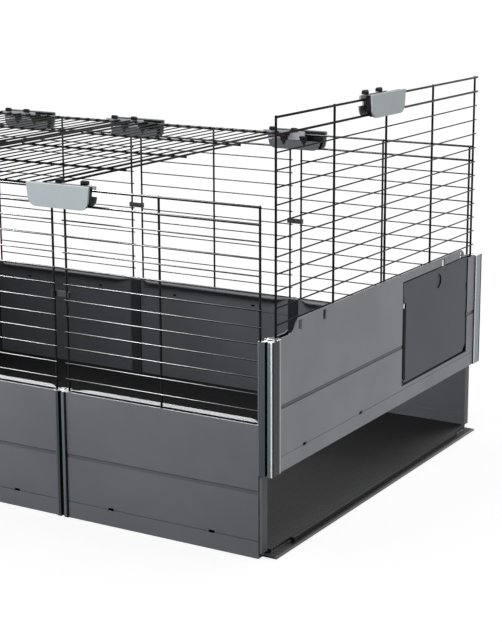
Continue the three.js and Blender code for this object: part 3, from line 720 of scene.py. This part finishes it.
def wall_grille(reach, feet, name):
    wires = []
    pitch = 2 * reach / (len(feet) - 1)
    for i, foot in enumerate(feet):
        u = i * pitch - reach
        wires.append(wire(thick, (u, 0, foot), (u, 0, grille_top)))
    half = reach + thick + wire_tip
    for radius, count, first in level_rows:
        level = top_wire_level - first * level_pitch
        model = wire(radius, (-half, -step(radius), level), (half, -step(radius), level))
        wires.append(model)
        wires += [duplicate(model, "level_wire", Matrix.Translation((0, 0, -i * level_pitch)))
                  for i in range(1, count)]
    made = joined(wires, name)
    made.data.materials.append(wire_finish)
    return made


# %% [markdown]
# The wall grilles differ only in width and in where their uprights end. The long ones at the
# ends of the cage stand on the raised middle of the end panels, so their inner uprights
# are shorter.

# %% Wall grilles
low_foot, raised_foot = 0.18, 0.2009
module_reach, end_reach = 0.1635, 0.332
grille = wall_grille(module_reach, [low_foot] * 3, "module_grille")
end_grille = wall_grille(end_reach, [low_foot] + [raised_foot] * 3 + [low_foot], "end_grille")
for side, sign in (("front", 1), ("back", -1)):
    for module, x in module_x.items():
        name = f"{side}_grille_{module}"
        place = walls[side] @ Matrix.Translation((sign * x, 0, 0))
        place_piece(duplicate(grille, name + "_piece", place), "base", "wire", name)
for end, body in (("left", "base"), ("right", "right_end_wall")):
    made = duplicate(end_grille, f"end_grille_{end}_piece", walls[end])
    place_piece(made, body, "wire", f"end_grille_{end}")
print("triangles in a module grille:", sum(len(p.vertices) - 2 for p in grille.data.polygons))
for model in (grille, end_grille):
    bpy.data.objects.remove(model)

# %% [markdown]
# A roof lid is the same idea laid flat over one module: five thick cross wires, and
# fifteen long ones welded on top of them. The cross wire at each end of the lid lies on
# the shelves of the clips, and the lid swings about the one at the back.

# %% Roof lids
lid_level = 0.4985
lid_edge_inset = 0.0081
lid_first_wire = 0.1669
lid_wire_count = 15
lid_last = lid_wire_count - 1
lid_pitch = (module_pitch - 2 * lid_edge_inset) / lid_last
cross_half, long_half = 0.1687, 0.3425
cross_y = (-0.3385, -0.16925, 0, 0.16925, 0.3385)
cross = [wire(thick, (-cross_half, y, lid_level), (cross_half, y, lid_level))
         for y in cross_y]
long_wires = []
for i in range(lid_wire_count):
    radius = thick if min(i, lid_last - i) < 2 else thin
    x, z = i * lid_pitch - lid_first_wire, lid_level + step(radius)
    long_wires.append(wire(radius, (x, -long_half, z), (x, long_half, z)))
print("wires of a lid:", len(cross), "across and", len(long_wires), "along it")
lid = joined(cross + long_wires, "lid")
lid.data.materials.append(wire_finish)
for module in ("left", "middle"):
    made = duplicate(lid, f"lid_{module}_piece", Matrix.Translation((module_x[module], 0, 0)))
    place_piece(made, f"lid_{module}", "wire", f"lid_{module}")
bpy.data.objects.remove(lid)

# %% [markdown]
# ## Top clips
# A clip closes over the two top wires. Its silver cover has leaning sides that round into
# a narrower foot. It starts as a block: the lower corners are moved inwards, the two lower
# corner edges get a wide round, and then every edge gets a soft one. The black core behind
# it and the grey inner plate share that outline, so one function makes all three.

# %% The clip outline
clip_top = 0.5055
clip_foot = 0.4705
clip_half = 0.056
clip_waist = 0.49
clip_lean = 0.004
foot_round = 0.0125


def box_piece(u, v, z):
    bpy.ops.object.select_all(action="DESELECT")
    middle = [(a + b) / 2 for a, b in (u, v, z)]
    bpy.ops.mesh.primitive_cube_add(size=1, location=middle,
                                    scale=[b - a for a, b in (u, v, z)])
    bpy.ops.object.transform_apply(location=True, rotation=True, scale=True)
    return bpy.context.active_object


def clip_slab(inset, depth):
    half = clip_half - inset
    made = box_piece((-half, half), depth, (clip_foot + inset, clip_top - inset))
    for vertex in made.data.vertices:
        if vertex.co.z < clip_waist:
            vertex.co.x *= (half - clip_lean) / half

    def lower_corner(a, b):
        return a.z < clip_waist and b.z < clip_waist and abs(a.y - b.y) > 0.001

    bevel_edges(made, lower_corner, foot_round, 8)
    return made


# %% [markdown]
# The silver cover is what the eye meets first. Its upper corners are almost square, and the
# long edge over the face has a wider round, which holds a light line.

# %% The cover
near_top = 0.505
cover = clip_slab(0, (-0.01705, -0.01375))
bevel_edges(cover, lambda a, b: min(a.z, b.z) > near_top and abs(a.y - b.y) > 0.001,
            0.002, 4)
bevel_edges(cover, lambda a, b: min(a.z, b.z) > near_top and max(a.y, b.y) < -0.017,
            0.0016, 3)
soften(cover, 0.0007, 3, 30)
cover.data.materials.append(cover_finish)
print("faces of the cover:", len(cover.data.polygons))

# %% [markdown]
# The core shows as a black strip behind the cover. Inside the cage it ends in the grey
# plate. Two black shelves stand above that plate to carry a lid, and a small V-shaped web
# lies on the plate below each.

# %% The slab and the plate of the core
slab = clip_slab(0.001, (-0.01345, -0.00545))
plate = clip_slab(0.001, (0.0052, 0.0077))
plate_top = 0.488
only(plate)
bpy.ops.object.mode_set(mode="EDIT")
bpy.ops.mesh.select_all(action="SELECT")
bpy.ops.mesh.bisect(plane_co=(0, 0, plate_top), plane_no=(0, 0, 1), use_fill=True,
                    clear_outer=True)
bpy.ops.object.mode_set(mode="OBJECT")
for part, finish in ((slab, core_finish), (plate, plate_finish)):
    soften(part, 0.0005)
    part.data.materials.append(finish)

# %% [markdown]
# Two posts join the black slab to the grey plate between the wires. The tabs stand up from
# the plate and end in the shelves, and a three-sided cylinder makes each web.

# %% Its posts, tabs and webs
core_parts = []
for side in (-1, 1):
    for u, v, z in (((0.026, 0.038), (-0.00645, 0.0062), (0.4805, 0.488)),
                    ((0.014, 0.028), (0.0052, 0.0077), (0.487, 0.4964)),
                    ((0.014, 0.028), (0.0052, 0.0132), (0.4934, 0.4964))):
        part = box_piece(sorted((side * u[0], side * u[1])), v, z)
        soften(part, 0.0004)
        core_parts.append(part)
    bpy.ops.object.select_all(action="DESELECT")
    bpy.ops.mesh.primitive_cylinder_add(
        vertices=3, radius=0.0058, depth=0.0012, location=(side * 0.021, 0.0081, 0.4845),
        rotation=(math.pi / 2, math.pi, 0))
    web = bpy.context.active_object
    bpy.ops.object.transform_apply(location=True, rotation=True, scale=True)
    soften(web, 0.0003)
    core_parts.append(web)
for part in core_parts:
    part.data.materials.append(core_finish)
tabs = joined(core_parts, "clip_tabs")

# %% [markdown]
# On the front and end clips the cover sits a little to one side of the clip's middle,
# together with the slab and the plate, while posts and tabs stay where they are on the
# other clips. So a core is put together for each of the three shifts.


# %% Whole cores
def clip_core(shift):
    moved = Matrix.Translation((shift, 0, 0))
    parts = [duplicate(slab, "slab", moved), duplicate(plate, "plate", moved),
             duplicate(tabs, "tabs")]
    return joined(parts, f"clip_core_{shift}")


front_shift, end_shift = 0.0115, -0.009
cores = {shift: clip_core(shift) for shift in (0, front_shift, end_shift)}
print("core materials:", [m.name for m in cores[0].data.materials])

# %% [markdown]
# The slider is a light grey strip between the grille and the tabs of the core. Its ends are
# narrower than its middle: the block is cut across by a bisect, and the upper part of each
# end face is extruded. A raised pad helps the thumb. Two black hooks pass over the tips of
# a lid's long wires when the slider is part-way along.


# %% The slider
def face_at(obj, wanted):
    mesh = obj.data
    for part in (mesh.vertices, mesh.edges, mesh.polygons):
        part.foreach_set("select", [False] * len(part))
    for face in mesh.polygons:
        if wanted(face.center, face.normal):
            face.select = True


slider_offset = 0.0225
slider_depth = (0.0021, 0.0049)
hook_half, hook_foot = 0.006, 0.50415
end_foot = 0.49615
strip = box_piece((-0.033, 0.033), slider_depth, (0.4885, hook_foot))
only(strip)
bpy.ops.object.mode_set(mode="EDIT")
bpy.ops.mesh.select_all(action="SELECT")
bpy.ops.mesh.bisect(plane_co=(0, 0, end_foot), plane_no=(0, 0, 1))
bpy.ops.object.mode_set(mode="OBJECT")
for side in (-1, 1):
    bpy.context.tool_settings.mesh_select_mode = (False, False, True)
    face_at(strip, lambda c, n: n.x * side > 0.9 and c.z > end_foot)
    bpy.ops.object.mode_set(mode="EDIT")
    bpy.ops.mesh.extrude_region_move(TRANSFORM_OT_translate={"value": (side * 0.01, 0, 0)})
    bpy.ops.object.mode_set(mode="OBJECT")
soften(strip, 0.0004)
pad = box_piece((0.012, 0.03), (0.0045, 0.0051), (0.4915, 0.5015))
soften(pad, 0.00025)
for part in (strip, pad):
    part.data.materials.append(slider_finish)
slider_parts = [strip, pad]
for side in (-1, 1):
    u = (side * slider_offset - hook_half, side * slider_offset + hook_half)
    for v, z, width in ((slider_depth, (0.5032, 0.5055), 0.0003),
                        ((0.0021, 0.0084), (hook_foot, 0.51045), 0.0022)):
        hook = box_piece(u, v, z)
        bevel_edges(hook, lambda a, b: a.z > 0.51 and b.z > 0.51, width, 4)
        soften(hook, 0.0003)
        hook.data.materials.append(core_finish)
        slider_parts.append(hook)
slider = joined(slider_parts, "clip_slider")
print("faces of a slider:", len(slider.data.polygons))

# %% [markdown]
# There are seven clips: two along the front, three along the back and one on each end. Each
# is given by its wall, its place along that wall, the way its slider stands and the shift of
# its cover. The sliders stand at rest, slid aside by 22.5 mm. There the hooks at the ends
# of a lid lie between its long wires and leave it free.

# %% Clips in their places
side_clip_x = -module_pitch - 3.5 * lid_pitch
end_clip_u = -0.016
clips = {
    "front_clip_left": ("front", -joint_x, 1, front_shift),
    "front_clip_right": ("front", joint_x, 1, front_shift),
    "back_clip_side": ("back", -side_clip_x, 1, 0),
    "back_clip_left": ("back", joint_x, 1, 0),
    "back_clip_right": ("back", -joint_x, 1, 0),
    "end_clip_left": ("left", end_clip_u, -1, end_shift),
    "end_clip_right": ("right", end_clip_u, -1, end_shift),
}
for name, (wall, u, slid, shift) in clips.items():
    body = "right_end_wall" if wall == "right" else "base"
    place = walls[wall] @ Matrix.Translation((u + shift, 0, 0))
    place_piece(duplicate(cover, name + "_cover_piece", place), body, "clip_cover",
                name + "_cover")
    place = walls[wall] @ Matrix.Translation((u, 0, 0))
    place_piece(duplicate(cores[shift], name + "_core_piece", place), body, "clip_core",
                name + "_core")
    place = walls[wall] @ Matrix.Translation((u + slid * slider_offset, 0, 0))
    place_piece(duplicate(slider, name + "_slider_piece", place), name + "_slider", "slider",
                name + "_slider")
for model in (cover, slab, plate, tabs, slider, *cores.values()):
    bpy.data.objects.remove(model)
print("clips:", len(clips))

# %% [markdown]
# ## The hinge of the door
# The door turns on a black rod with a thin pin at each end. The rod is a cylinder with
# rounded rims, and the pin is light plastic, so a bright spot shows above the rod where
# the pin comes out of it.

# %% Hinge bar
hinge_u, hinge_v = 0.0615, -0.0034
parts = []
for radius, low, high, finish in ((0.0045, 0.041, 0.157, hinge_finish),
                                  (0.0018, 0.0303, 0.1705, pin_finish)):
    part = wire(radius, (hinge_u, hinge_v, low), (hinge_u, hinge_v, high))
    part.data.materials.append(finish)
    parts.append(part)
print("parts of the hinge bar:", len(parts))
bar = joined(parts, "door_hinge_bar_piece")
bar.data.transform(walls["right"])
place_piece(bar, "right_end_wall", "hinge_bar", "door_hinge_bar")

# %% [markdown]
# Every piece is there now, so the lamps that are meant for some of them can be linked. Such
# a lamp gets a collection of the pieces that it lights, picked by the start of their names.

# %% What each lamp lights
walls_in_front = ("front_panel", "front_connector")
lit_pieces = {
    front_lamp: walls_in_front + ("corner_post_front",),
    ledge_lamp: walls_in_front + ("corner_post",),
    end_wall_lamp: ("end_panel_right", "door", "corner_post_back_right"),
    wire_lamp: ("front_grille", "back_grille"),
    rim_lamp: ("floor_tray",),
    back_lamp: ("back_panel", "back_connector", "corner_post_back", "back_clip"),
    left_lamp: ("end_panel_left", "corner_post_front_left", "corner_post_back_left",
                "end_clip_left"),
    inside_lamp: ("back_panel", "corner_post_back_right"),
}
pieces = [obj for obj in scene.objects if obj.name.endswith("_piece")]
lit_pieces[main_lamp] = tuple(obj.name for obj in pieces
                              if not obj.name.startswith("back_panel"))
for light, names in lit_pieces.items():
    lit = bpy.data.collections.new("lit by " + light.name)
    light.light_linking.receiver_collection = lit
    for obj in pieces:
        if obj.name.startswith(names):
            lit.objects.link(obj)

# %% [markdown]
# Last, the boxes of the CAD model and of the dressed one are written side by side, which
# shows at once if a piece has grown out of its place.

# %% The end
visual_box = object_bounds()
for name, cad, visual in zip(("low", "high"), cad_box, visual_box):
    print(name, [round(c * 1000, 1) for c in cad], [round(c * 1000, 1) for c in visual])
